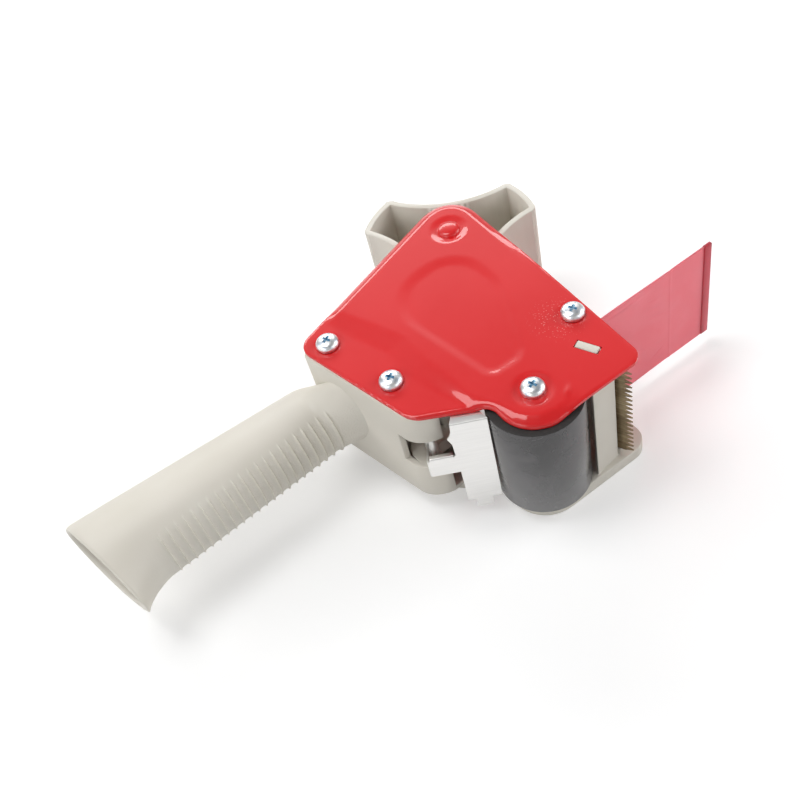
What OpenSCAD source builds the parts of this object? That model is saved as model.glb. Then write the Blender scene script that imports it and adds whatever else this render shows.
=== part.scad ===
/* [Tape] */
// Width of the tape the dispenser takes, and the length of its roller
tape_w = 50; // [47:0.5:54]
// Diameter over the lobes of the hub that carries the tape core
core_d = 76.5; // [74:0.5:78]
// Radius kept free around the hub for a full roll
roll_r = 67; // [64:0.5:67]

/* [Layout] */
// Hub axis ahead of the roller axis
hub_x = 30; // [26:0.5:34]
// Hub axis above the roller axis, square to the handle
hub_y = 90.5; // [88:0.5:96]
// Back wall behind the roller axis, measured on the handle axis
back_x = 51.5; // [49:0.5:54]
// Lean of the back wall and of the handle's end
back_lean = 11.7; // [9:0.1:14]
// Handle axis to the side of the roller axis
handle_y = 70; // [66:0.5:72]
// Front edge of plate and base, as a radius round the roller axis
lobe_r = 15.8; // [14.5:0.1:17]
// Head end of plate and base ahead of the roller axis
head_x = 42.8; // [41:0.2:46]

/* [Frame] */
// Thickness of the base
base_t = 6; // [4.5:0.5:8]
// Wall thickness of the moulding
wall_t = 2.6; // [2:0.1:3]
// Height of the handle block's underside above the base's underside
block_z = 8; // [7:0.5:10]
// Radius of the block's round lower end
block_r = 11; // [9:0.5:12]
// Screw boss radius
boss_r = 4.2; // [3.6:0.1:4.6]
// Width of the tape rest bar
bar_w = 12.2; // [9:0.2:13]
// Thickness of the tape rest bar
bar_t = 4; // [3:0.2:4.6]
// Thickness of the blade wall and of its tab through the plate
tab_t = 3.4; // [2.6:0.1:4]
// Length of the tab
tab_l = 9; // [6:0.5:10]

/* [Handle] */
// Length of the handle from the back wall to its open end
handle_l = 110.2; // [95:0.1:125]
// Half width of the handle at the neck
neck_a = 15.4; // [14:0.1:17]
// Half width of the handle at its open end
end_a = 20.6; // [18:0.1:23]
// Depth of the handle as a share of its width
handle_ratio = 0.9; // [0.8:0.01:1]
// Handle wall
handle_wall = 2.6; // [2:0.1:3.2]
// Flare of the finger side at the open end
end_flare = 10; // [4:0.1:11]
// Extra depth of the neck where it meets the wall
neck_flare = 8; // [4:0.5:8.5]
// Number of finger ribs
rib_count = 22; // [12:1:24]
// Rib height
rib_h = 0.7; // [0.4:0.1:1]

/* [Side plate] */
// Sheet thickness
plate_t = 1.2; // [0.8:0.1:1.6]
// Step between the screwed strip and the main panel
joggle = 1.2; // [0.8:0.1:2]
// Depth of the flange along the far edge
flange_h = 1.6; // [1:0.1:1.8]
// Depth of the rolled lip along the near edge
lip_h = 0.5; // [0.3:0.1:1]
// Plate corner radius round the hub stud
top_r = 14.4; // [12:0.2:16]
// Set-back of the plate's lower head corner from the base's
plate_back = 4; // [3:0.2:5]
// Lean of the plate's head edge
head_lean = 3.5; // [2.5:0.1:4.5]
// Depth of the sunk panel
press_d = 0.6; // [0.4:0.1:1]
// Depth of the dish round the roller screw
roller_dish_d = 0.5; // [0.3:0.1:1]
// Depth of the dish round the hub stud
dish_d = 0.7; // [0.4:0.1:1]

/* [Roller] */
// Radius of the rubber roller
roller_r = 18.8; // [18:0.1:20]
// Rubber thickness
rubber_t = 5; // [3:0.5:6]
// Spindle radius
spindle_r = 4; // [3.5:0.1:4.5]

/* [Hub] */
// Length of the hub
hub_l = 50; // [46:0.5:51]
// Half angle of a hub lobe
lobe_half = 17; // [13:0.5:20]
// Radius of the hub at the middle of its hollow sides
hollow_r = 20.7; // [19:0.1:23]
// Hub wall
hub_wall = 2.6; // [2:0.1:3]
// Stud radius
stud_r = 4; // [3.5:0.1:4.5]
// Depth of the brake recess in the hub's lower end
recess_h = 14; // [13:0.5:18]

/* [Retainer] */
// Sheet thickness of the tape retainer
steel_t = 0.8; // [0.6:0.1:1]
// Width of the retainer panel
panel_w = 14; // [12:0.5:14.5]
// Radius of the hinge pin
pin_r = 1.5; // [1.2:0.1:1.8]

/* [Blade and flap] */
// Number of blade teeth
tooth_count = 19; // [15:1:21]
// Blade thickness
blade_t = 0.6; // [0.4:0.1:0.8]
// Flap length from its bead to its free end
flap_l = 61.4; // [50:0.2:70]
// Flap sheet thickness
flap_t = 0.9; // [0.7:0.1:1.2]
// Radius of the bead at the flap's root
bead_r = 1.7; // [1.5:0.1:2]

/* [Hidden] */
$fn = 64;
// Clearances: a running fit, a seated fit and open air between pieces
run_fit = 0.05;
seat_fit = 0.02;
air = 0.4;
overlap = 0.2;

// Heights, counted from the base's underside
washer_t = 1;
play = 0.2;
end_gap = washer_t + 2 * play;
roller_z = base_t + end_gap;
seat_z = roller_z + tape_w + end_gap;
main_z = seat_z + joggle;
plate_top = main_z + plate_t;
handle_z = (block_z + seat_z) / 2 - 3.2;

// Points and directions of the plate's outline
top_slope = 18;
lower_slope = 32;
waist_y = 4.3;
hub = [hub_x, hub_y];
function along(a) = [cos(a), sin(a)];
function meet(p, a, q, b) =
    let (d = q - p, u = along(a), v = along(b))
    p + u * (d[0] * v[1] - d[1] * v[0]) / (u[0] * v[1] - u[1] * v[0]);
back_dir = 90 + back_lean;
back_point = [-back_x, handle_y];
waist = [-lobe_r, waist_y];
top_point = hub + top_r * along(90 + top_slope);
left_corner = meet(back_point, back_dir, top_point, top_slope);
low_corner = meet(back_point, back_dir, waist, -lower_slope);
head_corner = [head_x, -lobe_r];
plate_corner = head_corner - [plate_back, 0];
top_corner = meet(plate_corner, 90 - head_lean, top_point, top_slope);
plate_pts = [[-lobe_r, -lobe_r], plate_corner, top_corner, left_corner, low_corner, waist];
plate_radii = [lobe_r, 6, top_r, 7, 9, 6];

// Rounded polygons: corner arcs from a list of points and radii, and an inset of both
arc_steps = 10;
function unit(v) = v / norm(v);
function prev(list, i) = list[(i + len(list) - 1) % len(list)];
function next(list, i) = list[(i + 1) % len(list)];
function turn(list, i) =
    let (a = list[i] - prev(list, i), b = next(list, i) - list[i]) a[0] * b[1] - a[1] * b[0];
function corner(v, p, q, r) =
    let (u = unit(p - v), w = unit(q - v), half = acos(u * w) / 2)
    let (c = v + unit(u + w) * r / sin(half), s = v + u * r / tan(half), e = v + w * r / tan(half))
    let (a = atan2(s[1] - c[1], s[0] - c[0]), b = atan2(e[1] - c[1], e[0] - c[0]))
    let (sweep = ((b - a + 540) % 360) - 180)
    [for (k = [0 : arc_steps]) c + r * along(a + sweep * k / arc_steps)];
function rounded(pts, radii) =
    [for (i = [0 : len(pts) - 1])
        each (radii[i] > 0 ? corner(pts[i], prev(pts, i), next(pts, i), radii[i]) : [pts[i]])];
function side_normal(a, b) = let (d = unit(b - a)) [-d[1], d[0]];
function inset(pts, d) =
    [for (i = [0 : len(pts) - 1])
        let (m = side_normal(prev(pts, i), pts[i]), n = side_normal(pts[i], next(pts, i)))
        pts[i] + (m + n) * d / (1 + m * n)];
function inset_radii(pts, radii, d) =
    [for (i = [0 : len(pts) - 1]) max(0, turn(pts, i) > 0 ? radii[i] - d : radii[i] + d)];
module outline(pts, radii, d = 0) {
    polygon(rounded(inset(pts, d), inset_radii(pts, radii, d)));
}
module slab(z, h) {
    translate([0, 0, z]) linear_extrude(h) children();
}
module rod(at, z, h, r) {
    translate([at[0], at[1], z]) cylinder(h = h, r = r);
}
module tube(at, z, h, r, bore) {
    difference() {
        rod(at, z, h, r);
        rod(at, z - overlap, h + 2 * overlap, bore);
    }
}

// Screws that hold the plate: three into the moulding and one into the spindle
screw_back_in = [10.3, -4.6];
screw_low_in = [5.6, 20.2];
screw_head_in = 8.5;
screw_head_y = 17.4;
screw_back = left_corner + screw_back_in;
screw_low = low_corner + screw_low_in;
screw_head = [head_x - screw_head_in, screw_head_y];
pilot_r = 1.6;
screw_hole_r = 2.3;
screw_head_r = 4.8;
screw_head_h = 3.5;
screw_l = 14;
cross_l = 5;
cross_w = 1.1;
cross_d = 1.3;

// Handle block
block_lift = 1.6;
block_in = waist + block_lift * along(90 - lower_slope);
block_low = meet(back_point, back_dir, block_in, -lower_slope);
block_back = meet(back_point, back_dir, left_corner - [0, 0.6], top_slope);
column_in = 10.7;
column_x = low_corner[0] + column_in + block_r;
block_pts = [
    meet([column_x, 0], 90, block_in, -lower_slope),
    meet([column_x, 0], 90, block_back, top_slope),
    block_back,
    block_low
];
block_radii = [block_r, 0, 2.5, block_r];
column = [column_x - block_r, block_pts[0][1] + block_r / tan((90 - lower_slope) / 2)];

// Base outline: the plate's front, drawn in under the block
tuck = 10.5;
base_low = [column[0] - 1, column[1] - 2];
base_pts = [
    [-lobe_r + 0.2, -lobe_r + 0.2],
    head_corner + [-0.6, 0.2],
    [head_x - 0.6, hub_y / 2],
    left_corner + [tuck, -4],
    base_low,
    waist + [0.2, 4.5]
];
base_radii = [lobe_r - 0.2, 8, 0, 0, 5, 5];

// Hinge pin of the retainer, inside the round end of the block
pin = column + [-3, -3.2];
ledge_h = 7;
notch_z = 27.5;
notch_h = 16;
notch_y = 30.5;
slit_x = column[0] - 0.4;

// Roller
core_wall = 2.2;
core_r = roller_r - rubber_t;
bush_wall = 2;
bush_l = 9;
core_boss_r = spindle_r + bush_wall + core_wall;
spindle_seat = base_t - 2;
spindle_top = main_z - roller_dish_d;

// Blade wall, with its tab and the blade on its roller side
blade_dir = -66.8;
blade_u = along(blade_dir);
tab_at = [hub_x - 3, 1.2];
blade_wall_back = 6;
blade_wall_front = 12.5;
tooth_l = 3;
tooth_gap = 0.8;
blade_tip = (lobe_r + tab_at[1] - 0.2) / abs(blade_u[1]);
blade_root = 1.5;
blade_h = tape_w;
blade_z = roller_z;
blade_off = tab_t / 2 + air / 4;
rivet_r = 1.5;
rivet_head_r = 2.6;
rivet_head_h = 0.9;
rivet_along = 6;
rivet_inset = 12;
bar_at = [roller_r + 8.9, -lobe_r + 3.4];
bar_turn = 8;
bar_taper = 2.8;

// Flap socket
socket = [head_x - 4.8, 10.5];
socket_r = 3.2;
flap_z = base_t + air;
flap_h = tape_w + 1.2;
flap_swing = 25;
hem_w = 4;
hem_t = 1.6;

// Hub and its brake
hub_z = seat_z - 0.8 - hub_l;
hub_r = core_d / 2;
hub_turn = -5.2;
web_t = 2.4;
hub_rib_t = 1.5;
hub_rib_turn = 18;
hub_bush_wall = 2;
hub_bush_r = stud_r + run_fit + hub_bush_wall;
hub_boss_r = hub_bush_r + hub_wall;
chord_half = hub_r * sin(60 - lobe_half);
sagitta = hub_r * cos(60 - lobe_half) - hollow_r;
scoop_r = (pow(chord_half, 2) + pow(sagitta, 2)) / (2 * sagitta);
boss_z = hub_z + recess_h;
boss_top = hub_z + hub_l - 1.5;
hub_rib_top = hub_z + hub_l - 0.5;
brake_t = 1.1;
spring_h = 7.6;
spring_wire = 0.6;
spring_r = stud_r + 2.2;
spring_turns = 4;
nut_h = 3.6;
nut_r = 6.5;
brake_top = boss_z - play;
spring_top = brake_top - brake_t;
spring_z = spring_top - spring_h;
nut_z = spring_z - brake_t - nut_h;
stud_end = nut_z - 1.5;

// Dishes pressed round the stud and the roller screw
dish_r = 8;

// Retainer panel, in the row of points that it passes
panel_dir = -30;
panel_u = along(panel_dir);
panel_end = [-roller_r - air, 3.2];
panel_start = panel_end - panel_w * panel_u;
panel_z = roller_z + 1;
panel_top = seat_z - lip_h - air;
arm_l = 11.5;
arm_z = notch_z + 1;
arm_h = 10.5;
arm_rim = 2.2;
arm_rim_gap = 1.5;
knuckle_r = pin_r + run_fit + 1.4;
top_fold = 6.5;
fold_taper = 4;
tab_w = 6.5;
tab_drop = 5.5;
tab_shift = 3.6;

// Tube along a helix, as one closed polyhedron; it ends square to the axis
coil_sides = 6;
coil_rings = 8;
function helix(r, h, turns, wire) =
    [for (i = [0 : turns * coil_rings])
        let (f = i / (turns * coil_rings), a = 360 * turns * f)
        [r * cos(a), r * sin(a), wire + (h - 2 * wire) * f]];
function ring(path, i, wire) =
    let (p = path[i], out = unit([p[0], p[1], 0]))
    [for (k = [0 : coil_sides - 1])
        let (t = 360 * k / coil_sides) p + wire * (cos(t) * out + sin(t) * [0, 0, 1])];
module coil(r, h, turns, wire) {
    path = helix(r, h, turns, wire);
    last = len(path) - 1;
    pts = [for (i = [0 : last]) each ring(path, i, wire)];
    sides = [for (i = [0 : last - 1], k = [0 : coil_sides - 1])
        let (j = (k + 1) % coil_sides, a = i * coil_sides, b = a + coil_sides)
        each [[a + k, a + j, b + j], [a + k, b + j, b + k]]];
    first_cap = [for (k = [1 : coil_sides - 2]) [0, k + 1, k]];
    end = last * coil_sides;
    last_cap = [for (k = [1 : coil_sides - 2]) [end, end + k, end + k + 1]];
    polyhedron(pts, concat(sides, first_cap, last_cap), convexity = 6);
}
function coil_gap(h, turns, wire) = (h - 2 * wire) / turns - 2 * wire;
retainer_spring_r = pin_r + 1.3;
retainer_spring_h = 4.4;
retainer_spring_turns = 3;
retainer_wire = 0.35;
echo(brake_spring_gap = coil_gap(spring_h, spring_turns, spring_wire));
echo(retainer_spring_gap = coil_gap(retainer_spring_h, retainer_spring_turns, retainer_wire));

// Handle: rings of points from the wall to the open end
ring_points = 24;
neck_run = 11;
neck_drop = 9.5;
neck_wide = 1.2;
neck_curve = 1.5;
end_run = 20;
end_curve = 1.2;
end_lean = 11.7;
bore_flare = 0.8;
rib_first = 7;
rib_last = 85.8;
rib_half = 0.9;
rib_reach = 60;
rib_pitch = (rib_last - rib_first) / (rib_count - 1);
function fade(d, run, curve = 2) = d < run ? pow(1 - d / run, curve) : 0;
// The neck sinks towards the finger side, fully at the top and hardly at all below
function sink(t) = 1 - (1 - pow((1 + sin(t)) / 2, neck_curve)) * sqrt(max(0, -cos(t)));
function handle_point(d, t, grow, spread = 1) =
    let (along_f = d / handle_l, a = neck_a + (end_a - neck_a) * along_f)
    let (neck = fade(d, neck_run))
    let (flare = spread * end_flare * fade(handle_l - d, end_run, end_curve))
    let (finger = max(0, -cos(t)))
    let (wide = a + neck_wide * neck + flare * finger * finger + grow)
    let (deep = a * handle_ratio + neck_flare * neck * max(0, sin(t)) + grow)
    let (y = wide * cos(t) - neck_drop * neck * sink(t), z = deep * sin(t))
    let (lean = tan(back_lean) * neck + tan(end_lean) * fade(handle_l - d, end_run))
    [-back_x - d - lean * y, handle_y + y, handle_z + z];
function rib_swell(t) = rib_h * max(0, min(1, (rib_reach - abs(180 - t)) / 25));
function handle_ring(d, swell) =
    [for (k = [0 : ring_points - 1])
        let (t = 360 * k / ring_points) handle_point(d, t, swell ? rib_swell(t) : 0)];
function bore_ring(d) =
    [for (k = [0 : ring_points - 1]) handle_point(d, 360 * k / ring_points, -handle_wall, bore_flare)];
neck_shares = [0, 0.07, 0.16, 0.27, 0.39, 0.5];
end_shares = [0.75, 0.55, 0.35, 0.175, 0];
smooth_runs = neck_run * neck_shares;
plain_runs = concat(rib_last + 3 * rib_half, [for (s = end_shares) handle_l - s * end_run]);
outer_rings = concat(
    [for (d = smooth_runs) handle_ring(d, false)],
    [for (i = [0 : rib_count - 1], s = [-1, 0, 1])
        handle_ring(rib_first + i * rib_pitch + s * rib_half, s == 0)],
    [for (d = plain_runs) handle_ring(d, false)]
);
bore_neck_shares = [0, 0.11, 0.28, 0.5, 0.78];
bore_shares = [0.36, 0.64];
bore_end_shares = [0.75, 0.45, 0.2, 0];
bore_runs = concat(neck_run * bore_neck_shares, handle_l * bore_shares,
    [for (s = bore_end_shares) handle_l - s * end_run]);
inner_rings = [for (d = bore_runs) bore_ring(d)];

plastic = "#DDD8CC";
red = "#DC3535";
zinc = "#C9CDD2";
bright = "#E4E6E8";

module roll_clear(grow = 0) {
    translate(hub) circle(r = roll_r + grow);
}

module block_2d(d = 0) {
    difference() {
        outline(block_pts, block_radii, d);
        roll_clear(d);
    }
}

module base_2d() {
    difference() {
        outline(base_pts, base_radii);
        roll_clear();
    }
}

// The handle block: a box closed below, with ledges for the hinge pin, a notch for the arm
// and its round end left open towards the roller
module block() {
    difference() {
        union() {
            difference() {
                slab(block_z, seat_z - block_z) block_2d();
                slab(block_z + wall_t, seat_z - block_z) block_2d(wall_t);
            }
            for (at = [screw_back, screw_low])
                rod(at, block_z + overlap, seat_z - block_z - overlap, boss_r);
            for (z = [notch_z - ledge_h, notch_z + notch_h])
                rod(column, z, ledge_h, block_r - wall_t / 2);
        }
        translate([-back_x, block_low[1] - 40, notch_z])
            cube([back_x + column_x + 1, notch_y - block_low[1] + 40, notch_h]);
        translate([slit_x, column[1] - 2 * block_r, block_z + wall_t])
            cube([2 * block_r, 2 * block_r - 1, seat_z]);
        rod(pin, notch_z - ledge_h + 2, notch_h + 2 * ledge_h, pin_r + seat_fit);
        for (at = [screw_back, screw_low])
            rod(at, seat_z - screw_l, screw_l + overlap, pilot_r);
    }
}

module blade_wall() {
    translate([tab_at[0], tab_at[1], 0]) rotate(blade_dir) {
        translate([-blade_wall_back, -tab_t / 2, base_t - overlap])
            cube([blade_wall_back + blade_wall_front, tab_t, main_z - base_t + overlap - air]);
        translate([-tab_l / 2, -tab_t / 2, base_t]) cube([tab_l, tab_t, plate_top - base_t + 0.3]);
    }
}

// The post that holds the flap's bead, open towards the head
module flap_socket() {
    difference() {
        union() {
            rod(socket, base_t - overlap, main_z - base_t + overlap - air, socket_r);
            rod(screw_head, base_t - overlap, main_z - base_t + overlap, boss_r);
            translate([screw_head[0] - 1.5, socket[1], base_t - overlap])
                cube([3, screw_head[1] - socket[1], main_z - base_t - air]);
        }
        rod(socket, base_t + air / 2, main_z, bead_r + run_fit);
        slab(base_t + air / 2, main_z)
            translate(socket) polygon([
                [0, -flap_t], 2 * socket_r * along(-flap_swing - 8) - [0, flap_t],
                2 * socket_r * along(flap_swing + 8) + [0, flap_t], [0, flap_t]
            ]);
        rod(screw_head, main_z - screw_l, screw_l + overlap, pilot_r);
    }
}

module rest_bar() {
    translate([bar_at[0], bar_at[1], base_t - overlap]) rotate(bar_turn)
        linear_extrude(main_z - base_t + overlap - air)
            polygon([[-bar_w, 0], [0, 0], [0, bar_t], [bar_taper - bar_w, bar_t]]);
}

module frame() color(plastic) {
    difference() {
        union() {
            slab(0, base_t) base_2d();
            slab(0, block_z + wall_t / 2) intersection() {
                base_2d();
                block_2d();
            }
            block();
            rest_bar();
            blade_wall();
            flap_socket();
        }
        rod([0, 0], spindle_seat, base_t, spindle_r + seat_fit);
        blade_rivet_holes();
    }
}

function wrap(k) = k % ring_points;
module handle() color(plastic) {
    n = ring_points;
    outer = len(outer_rings);
    inner = len(inner_rings);
    pts = concat([for (r = outer_rings) each r], [for (r = inner_rings) each r]);
    start = outer * n;
    out_faces = [for (i = [0 : outer - 2], k = [0 : n - 1])
        let (a = i * n + k, b = i * n + wrap(k + 1)) each [[a, a + n, b + n], [a, b + n, b]]];
    in_faces = [for (i = [0 : inner - 2], k = [0 : n - 1])
        let (a = start + i * n + k, b = start + i * n + wrap(k + 1))
        each [[a, b + n, a + n], [a, b, b + n]]];
    wall_cap = [for (k = [0 : n - 1])
        each [[k, wrap(k + 1), start + wrap(k + 1)], [k, start + wrap(k + 1), start + k]]];
    last_out = (outer - 1) * n;
    last_in = start + (inner - 1) * n;
    end_cap = [for (k = [0 : n - 1])
        each [[last_out + k, last_in + wrap(k + 1), last_out + wrap(k + 1)],
              [last_out + k, last_in + k, last_in + wrap(k + 1)]]];
    polyhedron(pts, concat(out_faces, in_faces, wall_cap, end_cap), convexity = 6);
}

// Where the plate steps down to the screwed strip
step_pts = [
    [-2 * back_x, hub_y + 40], [-2 * back_x, -lobe_r], waist + [-60, -60], waist + [1, -1.5],
    [-back_x + 31.4, 15], [-back_x + 27.4, 39], [-back_x + 28, 54], [-back_x + 17.7, 86],
    [-back_x + 17.7, hub_y + 40]
];
press_pts = [
    [-8.7, 13.5], [9.5, 13], [hub_x - 2.5, hub_y - 38.5], [hub_x - 1, hub_y - 9],
    [hub_x - 48.5, hub_y - 9]
];
press_radii = [7, 8, 24, 18, 22];
module strip_2d(grow = 0) {
    intersection() {
        outline(plate_pts, plate_radii);
        polygon(inset(step_pts, -grow));
    }
}
module press_2d(d = 0) {
    outline(press_pts, press_radii, d);
}
module plate_edge_2d() {
    difference() {
        outline(plate_pts, plate_radii);
        outline(plate_pts, plate_radii, plate_t);
    }
}
// A round dish: the sheet goes down by one step and keeps its thickness
module dish_cut(at, depth) {
    rod(at, plate_top - depth, depth + overlap, dish_r);
}
module dish_fill(at, depth) {
    rod(at, main_z - depth, plate_t + depth, dish_r + plate_t);
}

module side_plate() color(red) {
    difference() {
        union() {
            slab(seat_z, plate_t) strip_2d(plate_t);
            slab(seat_z, joggle + plate_t) difference() {
                strip_2d(plate_t);
                strip_2d();
            }
            slab(main_z, plate_t) difference() {
                outline(plate_pts, plate_radii);
                strip_2d();
            }
            slab(main_z - press_d, plate_t + press_d) press_2d();
            slab(main_z - flange_h, flange_h + overlap) intersection() {
                plate_edge_2d();
                polygon([[-back_x + 22, hub_y - 6], [hub_x - 8, hub_y + 4], [hub_x, hub_y - 35],
                         [head_x + 20, hub_y - 35], [head_x + 20, hub_y + 40],
                         [-back_x + 22, hub_y + 40]]);
            }
            slab(seat_z - lip_h, lip_h + overlap) intersection() {
                plate_edge_2d();
                polygon([low_corner + [4.5, -30], waist + [-2, -30], waist + [-2, 12],
                         low_corner + [4.5, 8]]);
            }
            dish_fill([0, 0], roller_dish_d);
            dish_fill(hub, dish_d);
        }
        slab(plate_top - press_d, press_d + overlap) press_2d(plate_t);
        dish_cut([0, 0], roller_dish_d);
        dish_cut(hub, dish_d);
        for (at = [screw_back, screw_low, screw_head, [0, 0]])
            rod(at, seat_z - overlap, 4 * plate_t, screw_hole_r);
        rod(hub, main_z - flange_h, 2 * flange_h, stud_r + seat_fit);
        translate([tab_at[0], tab_at[1], main_z - overlap]) rotate(blade_dir)
            translate([-tab_l / 2 - air, -tab_t / 2 - air / 2, 0])
                cube([tab_l + 2.5 * air, tab_t + air, 3 * plate_t]);
    }
}

// Pan head screw with a cross recess; z is the underside of the head
module screw(at, z, l, r) {
    dome_r = (pow(screw_head_r, 2) + pow(screw_head_h, 2)) / (2 * screw_head_h);
    difference() {
        union() {
            intersection() {
                rod(at, z, screw_head_h, screw_head_r);
                translate([at[0], at[1], z + screw_head_h + 0.6 - dome_r]) sphere(r = dome_r);
            }
            rod(at, z - l, l + overlap, r);
        }
        for (a = [0, 90])
            translate([at[0], at[1], z + screw_head_h - cross_d]) rotate(a + 30)
                translate([-cross_l / 2, -cross_w / 2, 0]) cube([cross_l, cross_w, 2 * cross_d]);
    }
}

module case_screws() color(zinc) {
    for (at = [screw_back, screw_low]) screw(at, seat_z + plate_t, screw_l - 1, pilot_r - seat_fit);
    screw(screw_head, plate_top, screw_l - 1, pilot_r - seat_fit);
}

spindle_bore_r = 2;
module roller_screw() color(zinc) {
    screw([0, 0], spindle_top + plate_t, screw_l - 1, spindle_bore_r - seat_fit);
}

module roller_spindle() color(bright) {
    difference() {
        rod([0, 0], spindle_seat, spindle_top - spindle_seat, spindle_r);
        rod([0, 0], spindle_top - screw_l, screw_l + overlap, spindle_bore_r);
    }
}

module thrust_washers() color(zinc) {
    for (z = [base_t, roller_z + tape_w + play])
        tube([0, 0], z + (z == base_t ? 0 : play), washer_t, core_boss_r, spindle_r + run_fit);
}

module roller_core() color("#2A2724") {
    difference() {
        union() {
            tube([0, 0], roller_z, tape_w, core_r, core_r - core_wall);
            rod([0, 0], roller_z, tape_w, core_boss_r);
            for (z = [roller_z + 3, roller_z + tape_w - 3 - core_wall])
                rod([0, 0], z, core_wall, core_r - core_wall / 2);
        }
        rod([0, 0], roller_z - overlap, tape_w + 2 * overlap, spindle_r + 0.5);
        for (z = [roller_z - overlap, roller_z + tape_w - bush_l])
            rod([0, 0], z, bush_l + overlap, spindle_r + bush_wall);
    }
}

module roller_bushes() color("#8A6A3A") {
    for (z = [roller_z, roller_z + tape_w - bush_l])
        tube([0, 0], z, bush_l, spindle_r + bush_wall - seat_fit, spindle_r + run_fit);
}

module roller_sleeve() color("#3A3939") {
    tube([0, 0], roller_z, tape_w, roller_r, core_r + seat_fit);
}

module hub_2d(d) {
    difference() {
        circle(r = hub_r - d);
        for (k = [0 : 2])
            rotate(60 + 120 * k) translate([hollow_r + scoop_r, 0]) circle(r = scoop_r + d);
    }
}

module hub() color(plastic) {
    difference() {
        translate([hub_x, hub_y, 0]) rotate(hub_turn) {
            slab(hub_z, hub_l) difference() {
                hub_2d(0);
                hub_2d(hub_wall);
            }
            slab(boss_z, web_t) hub_2d(hub_wall / 2);
            for (k = [0 : 2], s = [-1, 1])
                rotate(60 + 120 * k + s * hub_rib_turn)
                    translate([hub_boss_r - overlap, -hub_rib_t / 2, boss_z])
                        cube([hollow_r - hub_boss_r, hub_rib_t, hub_rib_top - boss_z]);
            rod([0, 0], boss_z, boss_top - boss_z, hub_boss_r);
        }
        rod(hub, hub_z, hub_l, hub_bush_r);
    }
}

module hub_bush() color("#E8E6E0") {
    tube(hub, boss_z, boss_top - boss_z, hub_bush_r - seat_fit, stud_r + run_fit);
}

// Stud riveted into the plate: domed head above, shoulder below, thread at the far end
module hub_stud() color(bright) {
    head_h = 1.5;
    head_z = plate_top - dish_d;
    rod(hub, stud_end, head_z - stud_end + overlap, stud_r);
    intersection() {
        rod(hub, head_z, head_h, stud_r + 0.6);
        translate([hub_x, hub_y, head_z + head_h - 2 * stud_r]) sphere(r = 2 * stud_r);
    }
    rod(hub, boss_top + play, main_z - dish_d - boss_top - play, hub_boss_r - 1);
}

module brake_washer() color(zinc) {
    tube(hub, brake_top - brake_t, brake_t, hub_boss_r, stud_r + run_fit);
}

module brake_spring() color(bright) {
    translate([hub_x, hub_y, spring_z]) coil(spring_r, spring_h, spring_turns, spring_wire);
}

module spring_cup() color(zinc) {
    tube(hub, spring_z - brake_t, brake_t, hub_boss_r, stud_r + run_fit);
}

module adjusting_nut() color(zinc) {
    difference() {
        translate([hub_x, hub_y, nut_z]) cylinder(h = nut_h, r = nut_r, $fn = 6);
        rod(hub, nut_z - overlap, nut_h + 2 * overlap, stud_r + seat_fit);
    }
}

module in_blade_plane() {
    translate([tab_at[0], tab_at[1], blade_z]) rotate(blade_dir) rotate([90, 0, 0]) children();
}
module rivet_places() {
    for (z = [rivet_inset, blade_h - rivet_inset]) translate([rivet_along, z, 0]) children();
}
module blade_rivet_holes() {
    in_blade_plane() rivet_places() translate([0, 0, -tab_t])
        cylinder(h = 2 * tab_t, r = rivet_r + seat_fit);
}

tooth_pitch = blade_h / tooth_count;
module blade() color("#8A7A60") {
    edge = blade_tip - tooth_l;
    teeth = [for (i = [0 : tooth_count - 1]) each
        [[edge, i * tooth_pitch + tooth_gap / 2], [blade_tip, (i + 0.5) * tooth_pitch],
         [edge, (i + 1) * tooth_pitch - tooth_gap / 2]]];
    difference() {
        in_blade_plane() translate([0, 0, blade_off]) linear_extrude(blade_t)
            polygon(concat([[blade_root, 0], [edge, 0]], teeth, [[edge, blade_h], [blade_root, blade_h]]));
        in_blade_plane() rivet_places() cylinder(h = 2 * tab_t, r = rivet_r + seat_fit);
    }
}

module blade_rivets() color(zinc) {
    in_blade_plane() rivet_places() {
        translate([0, 0, -tab_t / 2]) cylinder(h = tab_t + 2 * air, r = rivet_r);
        translate([0, 0, blade_off + blade_t]) cylinder(h = rivet_head_h, r = rivet_head_r);
        translate([0, 0, -tab_t / 2 - rivet_head_h]) cylinder(h = rivet_head_h, r = rivet_head_r);
    }
}

// Bent sheet: the panel by the roller, its top fold and lower tab, the rimmed arm and the knuckle
module retainer() color(bright) {
    difference() {
        union() {
            translate([panel_start[0], panel_start[1], 0]) rotate(panel_dir) {
                translate([0, 0, panel_z]) cube([panel_w, steel_t, panel_top - panel_z]);
                slab(panel_top - steel_t, steel_t) polygon([[0, 0], [panel_w, 0],
                    [panel_w - fold_taper, top_fold], [fold_taper / 2, top_fold]]);
                translate([tab_shift, 0, panel_z - tab_drop]) cube([tab_w, steel_t, tab_drop + overlap]);
                translate([-arm_l, 0, arm_z]) cube([arm_l + overlap, steel_t, arm_h]);
                translate([-arm_l, 0, arm_z + arm_h - steel_t])
                    cube([arm_l - arm_rim_gap, arm_rim, steel_t]);
            }
            arm_leg();
            rod(pin, arm_z, arm_h, knuckle_r);
        }
        rod(pin, arm_z - overlap, arm_h + 2 * overlap, pin_r + run_fit);
    }
}
module arm_leg() {
    foot = panel_start - (arm_l - steel_t) * panel_u;
    reach = pin - foot;
    translate([foot[0], foot[1], arm_z]) rotate(atan2(reach[1], reach[0]))
        translate([-steel_t / 2, -steel_t / 2, 0]) cube([norm(reach), steel_t, arm_h]);
}

module retainer_pin() color(zinc) {
    rod(pin, notch_z - ledge_h + 2, notch_h + 2 * ledge_h - 3, pin_r);
}

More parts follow.
